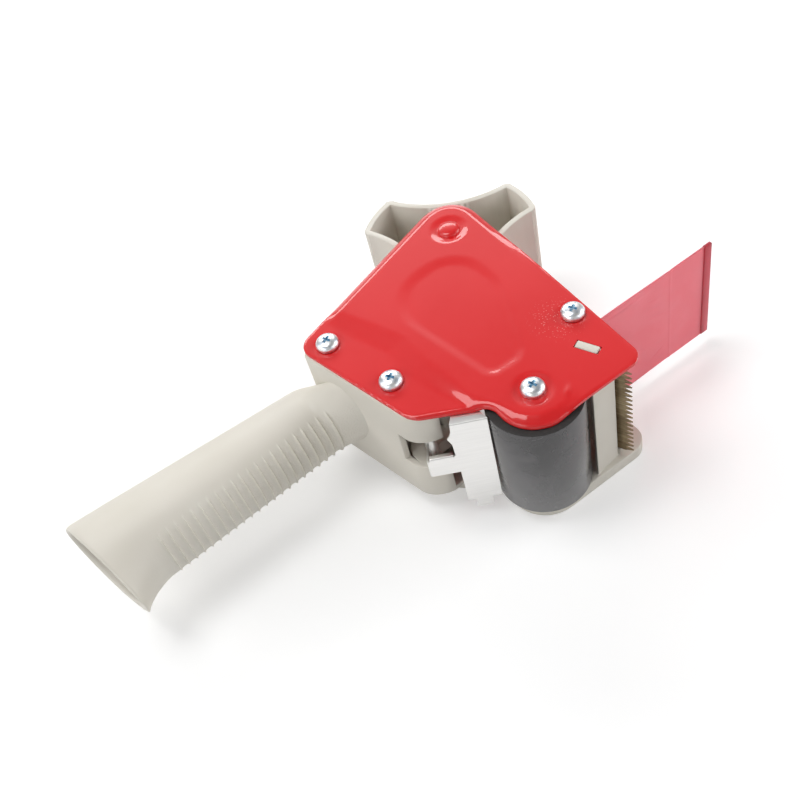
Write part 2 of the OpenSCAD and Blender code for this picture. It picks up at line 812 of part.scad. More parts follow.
module retainer_spring() color(bright) {
    translate([pin[0], pin[1], arm_z + arm_h + play])
        coil(retainer_spring_r, retainer_spring_h, retainer_spring_turns, retainer_wire);
}

module wiper_flap() color("#EC7583") {
    rod(socket, flap_z, flap_h, bead_r);
    translate([socket[0], socket[1] - flap_t / 2, flap_z]) cube([flap_l, flap_t, flap_h]);
    translate([socket[0] + flap_l - hem_w, socket[1] - hem_t / 2, flap_z]) cube([hem_w, hem_t, flap_h]);
}

frame();
handle();
side_plate();
case_screws();
roller_screw();
roller_spindle();
thrust_washers();
roller_core();
roller_bushes();
roller_sleeve();
hub();
hub_bush();
hub_stud();
brake_washer();
brake_spring();
spring_cup();
adjusting_nut();
blade();
blade_rivets();
retainer();
retainer_pin();
retainer_spring();
wiper_flap();
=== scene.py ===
"""Hand-held packing tape dispenser: its finish, pieces and studio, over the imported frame."""
import math

import bmesh
import bpy
import numpy as np
from mathutils import Matrix, Vector


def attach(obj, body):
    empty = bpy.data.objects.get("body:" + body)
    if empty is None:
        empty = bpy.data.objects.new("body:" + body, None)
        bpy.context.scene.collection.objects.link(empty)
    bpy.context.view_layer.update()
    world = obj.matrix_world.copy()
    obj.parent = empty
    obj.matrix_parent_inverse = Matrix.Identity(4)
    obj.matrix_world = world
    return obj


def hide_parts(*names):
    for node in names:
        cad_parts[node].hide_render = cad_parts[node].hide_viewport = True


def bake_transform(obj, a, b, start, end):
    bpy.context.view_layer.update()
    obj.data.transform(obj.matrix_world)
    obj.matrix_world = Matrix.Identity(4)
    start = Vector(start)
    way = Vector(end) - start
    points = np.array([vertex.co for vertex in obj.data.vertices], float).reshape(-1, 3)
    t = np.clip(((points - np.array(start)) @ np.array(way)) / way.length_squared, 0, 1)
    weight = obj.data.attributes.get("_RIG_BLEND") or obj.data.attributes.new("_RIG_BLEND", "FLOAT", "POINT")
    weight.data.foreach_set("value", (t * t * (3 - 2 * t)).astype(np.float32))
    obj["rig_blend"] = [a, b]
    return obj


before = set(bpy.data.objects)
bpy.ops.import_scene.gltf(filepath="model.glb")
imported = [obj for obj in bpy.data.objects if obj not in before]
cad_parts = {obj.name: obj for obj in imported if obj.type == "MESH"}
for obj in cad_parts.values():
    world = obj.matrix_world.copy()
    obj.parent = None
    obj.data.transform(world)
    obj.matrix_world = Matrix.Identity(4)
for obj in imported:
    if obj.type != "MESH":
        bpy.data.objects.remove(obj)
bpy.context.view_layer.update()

MM = 0.001

# Places and sizes in millimetres, the same values as the part's source
ROLLER_R, CORE_R, ROLLER_Z, TAPE_W = 18.8, 13.8, 7.4, 50.0
SEAT_Z, PLATE_TOP, PLATE_T, JOGGLE = 58.8, 61.2, 1.2, 1.2
HUB, HUB_R = (30.0, 90.5), 38.25
# The sheet's outline is measured with its rims bent down, so it is up to 1 mm off the flat one
PLATE_PTS = [(-15.2, -15.9), (38.6, -16.4), (46.5, 112.3), (-52.9, 81.6), (-40.79, 21.1), (-15.6, 5.35)]
PLATE_RADII = [15.2, 6.0, 14.4, 7.0, 9.0, 6.0]
# The pressed step runs down the strip, in at the waist and round the roller's lobe
STEP_LINE = [(-36.5, 96.0), (-33.8, 86.0), (-23.5, 54.0), (-24.1, 39.0), (-20.6, 15.0), (-18.9, 10.6),
             (-16.4, 7.6), (-14.4, 4.6), (-13.2, 1.4), (-12.5, -1.5), (-11.6, -4.6), (-9.7, -7.9),
             (-6.0, -10.9), (0.0, -12.4), (8.0, -12.4)]
PANEL_PTS = [(-8.7, 13.5), (9.5, 13.0), (27.5, 52.0), (29.0, 81.5), (-18.5, 81.5)]
PANEL_RADII = [7.0, 8.0, 24.0, 18.0, 22.0]
PANEL_SINK, DISH_D, ROLLER_DISH, DISH_FLAT, DISH_RIM = 0.46, 0.6, 0.5, 5.3, 8.7
SEAT_SINK, SEAT_FLAT, SEAT_RIM = 0.22, 4.7, 6.4
PIP_AT, PIP_H, PIP_LONG, PIP_WIDE = (8.2, -9.5), 0.5, 2.2, 0.8
NIBS_AT, NIBS_NEAR, NIBS_FAR, NIB_PITCH = (28.6, 19.5), 5.0, 13.0, 0.95
TAB_AT, BLADE_DIR, TAB_T, TAB_L = (27.0, 1.2), -66.8, 3.4, 9.0
SCREW_BACK, SCREW_LOW, SCREW_HEAD = (-42.98, 73.98), (-35.58, 40.36), (34.3, 17.4)
SCREW_H, SCREW_R, SHANK_R, SHANK_L = 3.5, 4.75, 1.6, 13.0
RECESS_L, RECESS_W, RECESS_D = 5.6, 1.3, 2.0
SOCKET, FLAP_L, FLAP_T, FLAP_Z, FLAP_H = (38.0, 10.5), 61.4, 0.9, 6.4, 51.2
PANEL_START, PANEL_DIR, PANEL_W, STEEL_T = (-31.32, 10.2), -30.0, 14.0, 0.8
HINGE_PIN = (-33.478, 25.13)
BACK_X, HANDLE_Y, HANDLE_Z, HANDLE_L, BACK_LEAN = 51.5, 70.0, 30.2, 110.2, 11.7
HANDLE_HALF, HANDLE_TAPER, NECK_L, FLARE_L, FLARE_H = 15.4, 5.2, 11.0, 20.0, 10.0


# Materials


def linear(colour):
    """An sRGB hex colour as linear red, green, blue and alpha."""
    parts = [int(colour[i:i + 2], 16) / 255 for i in (1, 3, 5)]
    return [p / 12.92 if p <= 0.04045 else ((p + 0.055) / 1.055) ** 2.4 for p in parts] + [1.0]


def add(tree, kind, inputs=None, **settings):
    """Add a node with its settings; an input is a value or another node's socket."""
    made = tree.nodes.new(kind)
    for name, value in settings.items():
        setattr(made, name, value)
    for name, value in (inputs or {}).items():
        if isinstance(value, bpy.types.NodeSocket):
            tree.links.new(value, made.inputs[name])
        else:
            made.inputs[name].default_value = value
    return made


def new_finish(name, **sockets):
    """A material with its shader, its node tree and the object's own coordinates."""
    made = bpy.data.materials.new(name)
    made.use_nodes = True
    tree = made.node_tree
    shader = tree.nodes["Principled BSDF"]
    for socket, value in sockets.items():
        shader.inputs[socket.replace("_", " ")].default_value = value
    place = add(tree, "ShaderNodeTexCoord").outputs["Object"]
    return made, tree, shader, place


def ramp(tree, factor, stops):
    """Colours or greys along a factor, from (position, hex) stops."""
    made = add(tree, "ShaderNodeValToRGB", {"Fac": factor})
    for spare in list(made.color_ramp.elements)[1:]:
        made.color_ramp.elements.remove(spare)
    first = made.color_ramp.elements[0]
    first.position, first.color = stops[0][0], linear(stops[0][1])
    for position, colour in stops[1:]:
        made.color_ramp.elements.new(position).color = linear(colour)
    return made.outputs["Color"]


def per_mm(size):
    """Texture scale at which one feature of a noise is about this many millimetres."""
    return 1 / (size * MM)


def surface(tree, shader, colour, rough=None, relief=None):
    """Link a colour to the shader, and a roughness and a relief where there are any."""
    tree.links.new(colour, shader.inputs["Base Color"])
    if rough:
        tree.links.new(rough.outputs["Result"], shader.inputs["Roughness"])
    if relief:
        tree.links.new(relief.outputs["Normal"], shader.inputs["Normal"])


def moulded_abs():
    """ABS moulded in a spark-eroded tool: warm off-white, satin, with a coarser grain on the finger grip."""
    made, tree, shader, place = new_finish("moulded_abs_off_white", IOR=1.53)
    tone = add(tree, "ShaderNodeTexNoise", {"Vector": place, "Scale": per_mm(38), "Detail": 3.0})
    colour = ramp(tree, tone.outputs["Fac"], [(0.30, "#DBD6CA"), (0.52, "#DFDACF"), (0.75, "#E3DFD5")])
    # The real grain is about 0.1 mm; it is drawn at 0.7 mm so that it shows
    grain = add(tree, "ShaderNodeTexNoise", {"Vector": place, "Scale": per_mm(0.7), "Detail": 2.0})
    rough = add(tree, "ShaderNodeMapRange", {"Value": grain.outputs["Fac"], "To Min": 0.40, "To Max": 0.56})
    grip = add(tree, "ShaderNodeAttribute", attribute_name="grip")
    depth = add(tree, "ShaderNodeMath", {0: grip.outputs["Fac"], 1: 0.85, 2: 0.10}, operation="MULTIPLY_ADD")
    relief = add(tree, "ShaderNodeBump",
                 {"Height": grain.outputs["Fac"], "Strength": depth.outputs["Value"], "Distance": 0.20 * MM})
    surface(tree, shader, colour, rough, relief)
    return made


def baked_enamel():
    """Baked enamel on pressed steel: bright red, glossy, a slight orange peel and a few dust nibs, each with
    a painted glint.
    """
    made, tree, shader, place = new_finish("baked_enamel_red", IOR=1.5, Specular_IOR_Level=0.2,
                                           Coat_Weight=0.75, Coat_Roughness=0.06)
    tone = add(tree, "ShaderNodeTexNoise", {"Vector": place, "Scale": per_mm(45), "Detail": 2.0})
    colour = ramp(tree, tone.outputs["Fac"], [(0.32, "#DC1E21"), (0.68, "#E12629")])
    peel = add(tree, "ShaderNodeTexNoise", {"Vector": place, "Scale": per_mm(2.6), "Detail": 1.0})
    # Dust nibs sit in one drift between the head screw and the tab: each is a raised bump, and its pale pink
    # is a painted glint
    drift = add(tree, "ShaderNodeVectorMath",
                {0: place, 1: Vector((*NIBS_AT, PLATE_TOP)) * MM}, operation="DISTANCE")
    near = add(tree, "ShaderNodeMapRange",
               {"Value": drift.outputs["Value"], "From Min": NIBS_NEAR * MM, "From Max": NIBS_FAR * MM,
                "To Min": 1.0, "To Max": 0.0})
    nibs = add(tree, "ShaderNodeTexVoronoi",
               {"Vector": place, "Scale": per_mm(NIB_PITCH), "Randomness": 1.0})
    nib = add(tree, "ShaderNodeMapRange",
              {"Value": nibs.outputs["Distance"], "From Min": 0.05, "From Max": 0.27,
               "To Min": 1.0, "To Max": 0.0})
    nib_bumps_and_glints = add(tree, "ShaderNodeMath",
                   {0: nib.outputs["Result"], 1: near.outputs["Result"]}, operation="MULTIPLY")
    height = add(tree, "ShaderNodeMath",
                 {0: nib_bumps_and_glints.outputs["Value"], 1: 5.0, 2: peel.outputs["Fac"]}, operation="MULTIPLY_ADD")
    # The pale pink mixed in over the nibs is a painted glint, not the enamel's own colour
    pale = add(tree, "ShaderNodeMix",
               {"Factor": nib_bumps_and_glints.outputs["Value"], "A": colour, "B": linear("#F7A09A")}, data_type="RGBA")
    relief = add(tree, "ShaderNodeBump",
                 {"Height": height.outputs["Value"], "Strength": 0.16, "Distance": 0.03 * MM})
    rough = add(tree, "ShaderNodeMapRange", {"Value": peel.outputs["Fac"], "To Min": 0.28, "To Max": 0.40})
    surface(tree, shader, pale.outputs["Result"], rough, relief)
    tree.links.new(relief.outputs["Normal"], shader.inputs["Coat Normal"])
    return made


def zinc_plate(name, shades, smoothest):
    """Bright zinc plating, clear passivated: silvery with a blue cast and fine tumbling scratches."""
    made, tree, shader, place = new_finish(name, Metallic=1.0)
    cast = add(tree, "ShaderNodeTexNoise", {"Vector": place, "Scale": per_mm(2.2), "Detail": 3.0})
    colour = ramp(tree, cast.outputs["Fac"], list(zip((0.30, 0.50, 0.70), shades)))
    scratch = add(tree, "ShaderNodeTexNoise", {"Vector": place, "Scale": per_mm(0.35), "Detail": 2.0})
    rough = add(tree, "ShaderNodeMapRange",
                {"Value": scratch.outputs["Fac"], "To Min": smoothest, "To Max": smoothest + 0.18})
    relief = add(tree, "ShaderNodeBump",
                 {"Height": scratch.outputs["Fac"], "Strength": 0.12, "Distance": 0.03 * MM})
    surface(tree, shader, colour, rough, relief)
    return made


def bright_steel():
    """Nickel-plated spring steel sheet: a soft white shine, with the faint rolling lines of the strip."""
    made, tree, shader, place = new_finish("nickel_plated_steel", Metallic=1.0)
    lines = add(tree, "ShaderNodeMapping", {"Vector": place, "Scale": (per_mm(12), per_mm(12), per_mm(0.5))})
    rolling = add(tree, "ShaderNodeTexNoise",
                  {"Vector": lines.outputs["Vector"], "Scale": 1.0, "Detail": 2.0})
    colour = ramp(tree, rolling.outputs["Fac"], [(0.30, "#E9E8E6"), (0.70, "#EEEDEB")])
    rough = add(tree, "ShaderNodeMapRange",
                {"Value": rolling.outputs["Fac"], "To Min": 0.26, "To Max": 0.32})
    relief = add(tree, "ShaderNodeBump",
                 {"Height": rolling.outputs["Fac"], "Strength": 0.006, "Distance": 0.01 * MM})
    surface(tree, shader, colour, rough, relief)
    return made


def spring_wire():
    """Hard-drawn spring wire: grey steel, drawn smooth, with a thin brown oil bloom."""
    made, tree, shader, place = new_finish("spring_wire_steel", Metallic=1.0)
    bloom = add(tree, "ShaderNodeTexNoise", {"Vector": place, "Scale": per_mm(3.0), "Detail": 2.0})
    colour = ramp(tree, bloom.outputs["Fac"], [(0.35, "#8F8A82"), (0.70, "#B4B4B2")])
    rough = add(tree, "ShaderNodeMapRange", {"Value": bloom.outputs["Fac"], "To Min": 0.24, "To Max": 0.40})
    surface(tree, shader, colour, rough)
    return made


def blade_steel():
    """Hardened blade strip, tempered to a straw brown, ground across its length."""
    made, tree, shader, place = new_finish("tempered_blade_steel", Metallic=0.85)
    ground = add(tree, "ShaderNodeMapping", {"Vector": place, "Scale": (per_mm(8), per_mm(8), per_mm(0.4))})
    lines = add(tree, "ShaderNodeTexNoise",
                {"Vector": ground.outputs["Vector"], "Scale": 1.0, "Detail": 2.0})
    temper = add(tree, "ShaderNodeTexNoise", {"Vector": place, "Scale": per_mm(7), "Detail": 2.0})
    mixed = add(tree, "ShaderNodeMath", {0: lines.outputs["Fac"], 1: temper.outputs["Fac"]}, operation="ADD")
    half = add(tree, "ShaderNodeMath", {0: mixed.outputs["Value"], 1: 0.5}, operation="MULTIPLY")
    colour = ramp(tree, half.outputs["Value"], [(0.36, "#7A6A52"), (0.52, "#9C8B6E"), (0.66, "#B7A78A")])
    rough = add(tree, "ShaderNodeMapRange", {"Value": lines.outputs["Fac"], "To Min": 0.34, "To Max": 0.50})
    relief = add(tree, "ShaderNodeBump",
                 {"Height": lines.outputs["Fac"], "Strength": 0.10, "Distance": 0.03 * MM})
    surface(tree, shader, colour, rough, relief)
    return made


def black_rubber():
    """Ground nitrile rubber: charcoal with a bloom of dust, finger smudges and a dull sheen."""
    made, tree, shader, place = new_finish("ground_rubber_black", IOR=1.6,
                                           Coat_Weight=0.4, Coat_Roughness=0.22)
    smudge = add(tree, "ShaderNodeTexNoise",
                 {"Vector": place, "Scale": per_mm(11), "Detail": 4.0, "Distortion": 0.6})
    colour = ramp(tree, smudge.outputs["Fac"], [(0.28, "#262526"), (0.50, "#363436"), (0.72, "#484648")])
    rough = add(tree, "ShaderNodeMapRange",
                {"Value": smudge.outputs["Fac"], "From Min": 0.3, "From Max": 0.7,
                 "To Min": 0.20, "To Max": 0.36})
    grind = add(tree, "ShaderNodeTexNoise", {"Vector": place, "Scale": per_mm(0.6), "Detail": 2.0})
    relief = add(tree, "ShaderNodeBump",
                 {"Height": grind.outputs["Fac"], "Strength": 0.12, "Distance": 0.04 * MM})
    surface(tree, shader, colour, rough, relief)
    return made


def shaded_cut_rubber():
    """The roller's sawn ends: clean black rubber, quite matt, and painted darker still as the shade under
    the plate.
    """
    made, tree, shader, place = new_finish("sawn_rubber_painted_shade", IOR=1.5)
    saw = add(tree, "ShaderNodeTexNoise", {"Vector": place, "Scale": per_mm(1.2), "Detail": 3.0})
    colour = ramp(tree, saw.outputs["Fac"], [(0.3, "#1F1D1C"), (0.7, "#2B2927")])
    relief = add(tree, "ShaderNodeBump",
                 {"Height": saw.outputs["Fac"], "Strength": 0.15, "Distance": 0.05 * MM})
    shader.inputs["Roughness"].default_value = 0.7
    surface(tree, shader, colour, relief=relief)
    return made


def black_plastic():
    """Moulded black polyamide of the roller core: deep grey, satin, lightly flow-marked."""
    made, tree, shader, place = new_finish("moulded_polyamide_black", IOR=1.53)
    flow = add(tree, "ShaderNodeTexNoise",
               {"Vector": place, "Scale": per_mm(6), "Detail": 3.0, "Distortion": 1.0})
    colour = ramp(tree, flow.outputs["Fac"], [(0.3, "#1E1C1B"), (0.7, "#2B2826")])
    rough = add(tree, "ShaderNodeMapRange", {"Value": flow.outputs["Fac"], "To Min": 0.40, "To Max": 0.55})
    surface(tree, shader, colour, rough)
    return made


def sintered_bronze():
    """Sintered bronze bush: brown-gold, matt and finely pored, damp with oil."""
    made, tree, shader, place = new_finish("sintered_bronze", Metallic=1.0)
    pores = add(tree, "ShaderNodeTexNoise", {"Vector": place, "Scale": per_mm(0.5), "Detail": 3.0})
    colour = ramp(tree, pores.outputs["Fac"], [(0.3, "#6B4E2C"), (0.7, "#9C7A4C")])
    relief = add(tree, "ShaderNodeBump",
                 {"Height": pores.outputs["Fac"], "Strength": 0.2, "Distance": 0.05 * MM})
    shader.inputs["Roughness"].default_value = 0.45
    surface(tree, shader, colour, relief=relief)
    return made


def white_nylon():
    """Natural nylon bush: milky white, waxy and a little translucent."""
    made, tree, shader, place = new_finish("natural_nylon", IOR=1.53, Subsurface_Weight=0.2)
    shader.inputs["Subsurface Radius"].default_value = (2 * MM, 2 * MM, 1.5 * MM)
    cloud = add(tree, "ShaderNodeTexNoise", {"Vector": place, "Scale": per_mm(5), "Detail": 2.0})
    colour = ramp(tree, cloud.outputs["Fac"], [(0.3, "#DAD7CD"), (0.7, "#E6E4DC")])
    shader.inputs["Roughness"].default_value = 0.38
    surface(tree, shader, colour)
    return made


def red_vinyl(name, shades):
    """Flexible vinyl sheet, tinted red: lets light through, with a soft calendered surface."""
    made, tree, shader, place = new_finish(name, IOR=1.5, Transmission_Weight=0.6)
    folds = add(tree, "ShaderNodeTexNoise",
                {"Vector": place, "Scale": per_mm(16), "Detail": 3.0, "Distortion": 0.4})
    colour = ramp(tree, folds.outputs["Fac"], list(zip((0.30, 0.55, 0.75), shades)))
    rough = add(tree, "ShaderNodeMapRange", {"Value": folds.outputs["Fac"], "To Min": 0.34, "To Max": 0.48})
    relief = add(tree, "ShaderNodeBump",
                 {"Height": folds.outputs["Fac"], "Strength": 0.10, "Distance": 0.2 * MM})
    surface(tree, shader, colour, rough, relief)
    return made


ABS = moulded_abs()
ENAMEL = baked_enamel()
ZINC = zinc_plate("zinc_plate_bright", ("#BCC7D3", "#E0E3E6", "#ECEAE6"), 0.24)
# The cross recesses get a darker, bluer zinc: painted shade inside the hollow
ZINC_RECESS_SHADE = zinc_plate("zinc_plate_recess_painted_shade", ("#6B98B4", "#8FB5CB", "#B3CEDD"), 0.40)
STEEL = bright_steel()
WIRE = spring_wire()
BLADE = blade_steel()
RUBBER = black_rubber()
CUT_RUBBER_SHADE = shaded_cut_rubber()
POLYAMIDE = black_plastic()
BRONZE = sintered_bronze()
NYLON = white_nylon()
VINYL = red_vinyl("red_vinyl_sheet", ("#F87A88", "#FA8693", "#FC929E"))
VINYL_HEM = red_vinyl("red_vinyl_hem", ("#DC4759", "#E15163", "#E65B6D"))


# Making pieces


def smooth(low, high, value):
    """Smooth step from 0 at low to 1 at high, on numbers or arrays."""
    t = np.clip((value - low) / (high - low), 0.0, 1.0)
    return t * t * (3 - 2 * t)


def new_object(name, bm):
    mesh = bpy.data.meshes.new(name)
    bm.to_mesh(mesh)
    bm.free()
    made = bpy.data.objects.new(name, mesh)
    bpy.context.scene.collection.objects.link(made)
    return made


def finish_piece(bm, name, material, body, stands_for=(), sharp=35):
    """Make the object of a finished bmesh: shading, material, body and the solids it stands for."""
    made = new_object(name, bm)
    mesh = made.data
    mesh.polygons.foreach_set("use_smooth", [True] * len(mesh.polygons))
    mesh.set_sharp_from_angle(angle=math.radians(sharp))
    mesh.materials.append(material)
    if body:
        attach(made, body)
    if stands_for:
        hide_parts(*stands_for)
    return made


def applied(made):
    """The object's mesh with its modifiers, as a new bmesh; the object is removed."""
    seen = made.evaluated_get(bpy.context.evaluated_depsgraph_get())
    mesh = bpy.data.meshes.new_from_object(seen)
    bm = bmesh.new()
    bm.from_mesh(mesh)
    bpy.data.meshes.remove(mesh)
    old = made.data
    bpy.data.objects.remove(made)
    bpy.data.meshes.remove(old)
    return bm


def carve(shape, tool):
    """Cut the tool's volume out of the shape; both are bmeshes and both are used up."""
    body, cutter = new_object("shape", shape), new_object("cutter", tool)
    step = body.modifiers.new("carve", "BOOLEAN")
    step.object, step.operation, step.solver = cutter, "DIFFERENCE", "EXACT"
    bpy.context.view_layer.update()
    bm = applied(body)
    mesh = cutter.data
    bpy.data.objects.remove(cutter)
    bpy.data.meshes.remove(mesh)
    return bm


def rounded_face(bm, points, radii, z, segments=14):
    """A flat face with these corners, each rounded to its radius by a vertex bevel."""
    spots = [Vector((x, y, z)) * MM for x, y in points]
    corners = [bm.verts.new(s) for s in spots]
    bm.faces.new(corners)
    for i, (corner, radius) in enumerate(zip(corners, radii)):
        to_last, to_next = spots[i - 1] - spots[i], spots[(i + 1) % len(spots)] - spots[i]
        reach = radius * MM / math.tan(to_last.angle(to_next) / 2)
        if radius:
            bmesh.ops.bevel(bm, geom=[corner], offset=reach, offset_type="ABSOLUTE", affect="VERTICES",
                            segments=segments, profile=0.5, material=-1)
    return bm.faces[:][0]


def lathe(bm, profile, centre, steps=64):
    """Spin a profile of (radius, height) points in mm round a vertical axis."""
    cx, cy = centre
    points = [bm.verts.new(((cx + r) * MM, cy * MM, z * MM)) for r, z in profile]
    edges = [bm.edges.new(pair) for pair in zip(points, points[1:])]
    bmesh.ops.spin(bm, geom=points + edges, cent=(cx * MM, cy * MM, 0), axis=(0, 0, 1),
                   angle=2 * math.pi, steps=steps, use_merge=True)
    bmesh.ops.remove_doubles(bm, verts=bm.verts, dist=0.002 * MM)
    bmesh.ops.recalc_face_normals(bm, faces=bm.faces)


def solid_copy(node):
    """A copy of a CAD node, merged into a closed mesh of flat faces."""
    bm = bmesh.new()
    bm.from_mesh(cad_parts[node].data)
    bmesh.ops.remove_doubles(bm, verts=bm.verts, dist=0.002 * MM)
    bmesh.ops.dissolve_limit(bm, angle_limit=math.radians(0.5), verts=bm.verts, edges=bm.edges)
    return bm


def ease_edges(made, width, segments=2):
    """Round a piece's sharp edges, as the tool that made it leaves them."""
    step = made.modifiers.new("eased", "BEVEL")
    step.width, step.segments, step.limit_method = width * MM, segments, "ANGLE"
    step.angle_limit = math.radians(32)
    step.use_clamp_overlap, step.harden_normals = False, True


# The side plate


def signed_side(x, y, line):
    """Distance of points from an open line, positive on its right-hand side as it is walked."""
    best = np.full(x.shape, 1e9)
    side = np.ones(x.shape)
    for (ax, ay), (bx, by) in zip(line, line[1:]):
        ux, uy = bx - ax, by - ay
        t = np.clip(((x - ax) * ux + (y - ay) * uy) / (ux * ux + uy * uy), 0, 1)
        away = np.hypot(x - ax - t * ux, y - ay - t * uy)
        turn = (y - ay) * ux - (x - ax) * uy
        nearer = away < best
        best = np.where(nearer, away, best)
        side = np.where(nearer, np.where(turn < 0, 1.0, -1.0), side)
    return best * side


def outline_points(points, radii):
    """The rounded outline as a closed list of points in mm."""
    bm = bmesh.new()
    face = rounded_face(bm, points, radii, 0)
    spots = [(v.co.x / MM, v.co.y / MM) for v in face.verts]
    if face.normal.z < 0:
        spots.reverse()
    bm.free()
    return spots + spots[:1]


def turned_down(edge, reach, bend, slope):
    """Drop in mm of a rim turned down near its edge: a bend over the first stretch, then straight."""
    past = np.clip(reach - edge, 0, None)
    return slope * np.where(past < bend, past * past / (2 * bend), past - bend / 2)


def round_hollow(x, y, centre, flat, rim):
    """1 inside a round hollow's flat floor, 0 outside its rim."""
    return 1 - smooth(flat, rim, np.hypot(x - centre[0], y - centre[1]))


def plate_height(x, y):
    """Rise of the pressed plate over its flat main panel, in mm."""
    edge = -signed_side(x, y, outline_points(PLATE_PTS, PLATE_RADII))
    step = -signed_side(x, y, STEP_LINE)
    # The step down to the strip is soft, and tightens into a hem round the waist and the lobe
    soft = 2.6 + 2.9 * smooth(11, 34, y) * (1 - 0.35 * smooth(70, 84, y))
    strip = JOGGLE * (1 - smooth(-soft, soft, step))
    limit = JOGGLE + 6.8 * smooth(-24, -16, x)
    hem = limit * np.tanh(turned_down(step, 1.0, 2.0, 0.50) / limit)
    strip = (strip + (hem - strip) * (1 - smooth(7, 16, y))) * (1 - smooth(-3, 11, x))
    # The rim turns down along the far edge and the upper head edge
    far = smooth(77.5, 85.5, y - 0.317 * x)
    head = smooth(28, 38, x) * smooth(48, 92, y)
    rim = np.maximum(far, head) * turned_down(edge, 4.0, 1.2, 0.48)
    z = strip * rim / JOGGLE - strip - rim
    # The pick-shaped panel, the dishes of the roller screw and the stud, and the screw seats are sunk
    inside = -signed_side(x, y, outline_points(PANEL_PTS, PANEL_RADII))
    slope = 4.4 + 2.6 * smooth(50, 76, y)
    z = z - PANEL_SINK * smooth(0.0, 1.0, inside / slope)
    for centre, depth in (((0, 0), ROLLER_DISH), (HUB, DISH_D)):
        z = z - depth * round_hollow(x, y, centre, DISH_FLAT, DISH_RIM)
    for centre in (SCREW_BACK, SCREW_LOW, SCREW_HEAD):
        z = z - SEAT_SINK * round_hollow(x, y, centre, SEAT_FLAT, SEAT_RIM)
    # A small pressed pip beside the roller screw
    dx, dy = x - PIP_AT[0], y - PIP_AT[1]
    along, across = (dx * 0.75 + dy * 0.66) / PIP_LONG, (dx * 0.66 - dy * 0.75) / PIP_WIDE
    z = z + PIP_H * np.exp(-(along ** 2 + across ** 2))
    # A narrow lip along the near edge, and the sheared edge's own round
    near = smooth(-42, -36, x) * (1 - smooth(8, 16, y + 0.6 * (x + 16))) * (1 - smooth(6, 22, x))
    z = z - near * (1 - 0.7 * smooth(-22, -15, x)) * turned_down(edge, 1.3, 0.9, 0.5)
    t = np.clip(1 - edge / 0.35, 0, 1)
    return z - 0.25 * (1 - np.sqrt(np.clip(1 - t * t, 0, 1)))


def pressed_side_plate():
    """One sheet, cut into a fine net, slotted for the tab, pressed to shape and given its gauge."""
    bm = bmesh.new()
    rounded_face(bm, PLATE_PTS, PLATE_RADII, PLATE_TOP, segments=22)
    bmesh.ops.recalc_face_normals(bm, faces=bm.faces)
    if bm.faces[:][0].normal.z < 0:
        bmesh.ops.reverse_faces(bm, faces=bm.faces)
    middle = bm.faces[:]
    for width in [0.09] * 4 + [0.32] * 10:
        bmesh.ops.inset_region(bm, faces=middle, thickness=width * MM, use_even_offset=True)
    pitch = 0.8
    for axis, low, high in ((Vector((1, 0, 0)), -56, 46), (Vector((0, 1, 0)), -17, 112)):
        for k in range(int((high - low) / pitch)):
            bmesh.ops.bisect_plane(bm, geom=bm.faces[:] + bm.edges[:] + bm.verts[:],
                                   plane_co=axis * (low + k * pitch) * MM, plane_no=axis)
    along = Vector((math.cos(math.radians(BLADE_DIR)), math.sin(math.radians(BLADE_DIR)), 0))
    across = Vector((-along.y, along.x, 0))
    middle_of_slot = Vector((TAB_AT[0], TAB_AT[1], PLATE_TOP)) * MM + along * 0.1 * MM
    half_l, half_t = (TAB_L / 2 + 0.45) * MM, (TAB_T / 2 + 0.2) * MM
    for way, half in ((along, half_l), (across, half_t)):
        for sign in (-1, 1):
            close = [f for f in bm.faces if (f.calc_center_median() - middle_of_slot).length < 9 * MM]
            parts = {e for f in close for e in f.edges} | {v for f in close for v in f.verts}
            bmesh.ops.bisect_plane(bm, geom=close + list(parts), plane_co=middle_of_slot + way * sign * half,
                                   plane_no=way)
    gone = [f for f in bm.faces
            if abs((f.calc_center_median() - middle_of_slot).dot(along)) < half_l
            and abs((f.calc_center_median() - middle_of_slot).dot(across)) < half_t]
    bmesh.ops.delete(bm, geom=gone, context="FACES")
    spots = np.array([v.co for v in bm.verts])
    rise = plate_height(spots[:, 0] / MM, spots[:, 1] / MM)
    for vert, up in zip(bm.verts, rise):
        vert.co.z += up * MM
    bmesh.ops.solidify(bm, geom=bm.faces[:], thickness=PLATE_T * MM)
    finish_piece(bm, "pressed_side_plate", ENAMEL, "body", ["side_plate"], sharp=50)


def painted_stud_head():
    """The stud's riveted head, painted over with the plate."""
    bm = bmesh.new()
    base = PLATE_TOP - DISH_D
    dome = ((0, 1.62), (2.4, 1.54), (3.9, 1.26), (4.6, 0.75), (4.78, 0.25), (4.9, -0.1))
    lathe(bm, [(radius, base + rise) for radius, rise in dome], HUB)
    bmesh.ops.holes_fill(bm, edges=[e for e in bm.edges if e.is_boundary])
    finish_piece(bm, "painted_stud_head", ENAMEL, "body", sharp=60)


# The moulding


def moulded_frame():
    """The frame's own solid, with its edges eased."""
    bm = solid_copy("frame")
    made = finish_piece(bm, "moulded_frame", ABS, "body", ["frame"], sharp=180)
    ease_edges(made, 0.45)


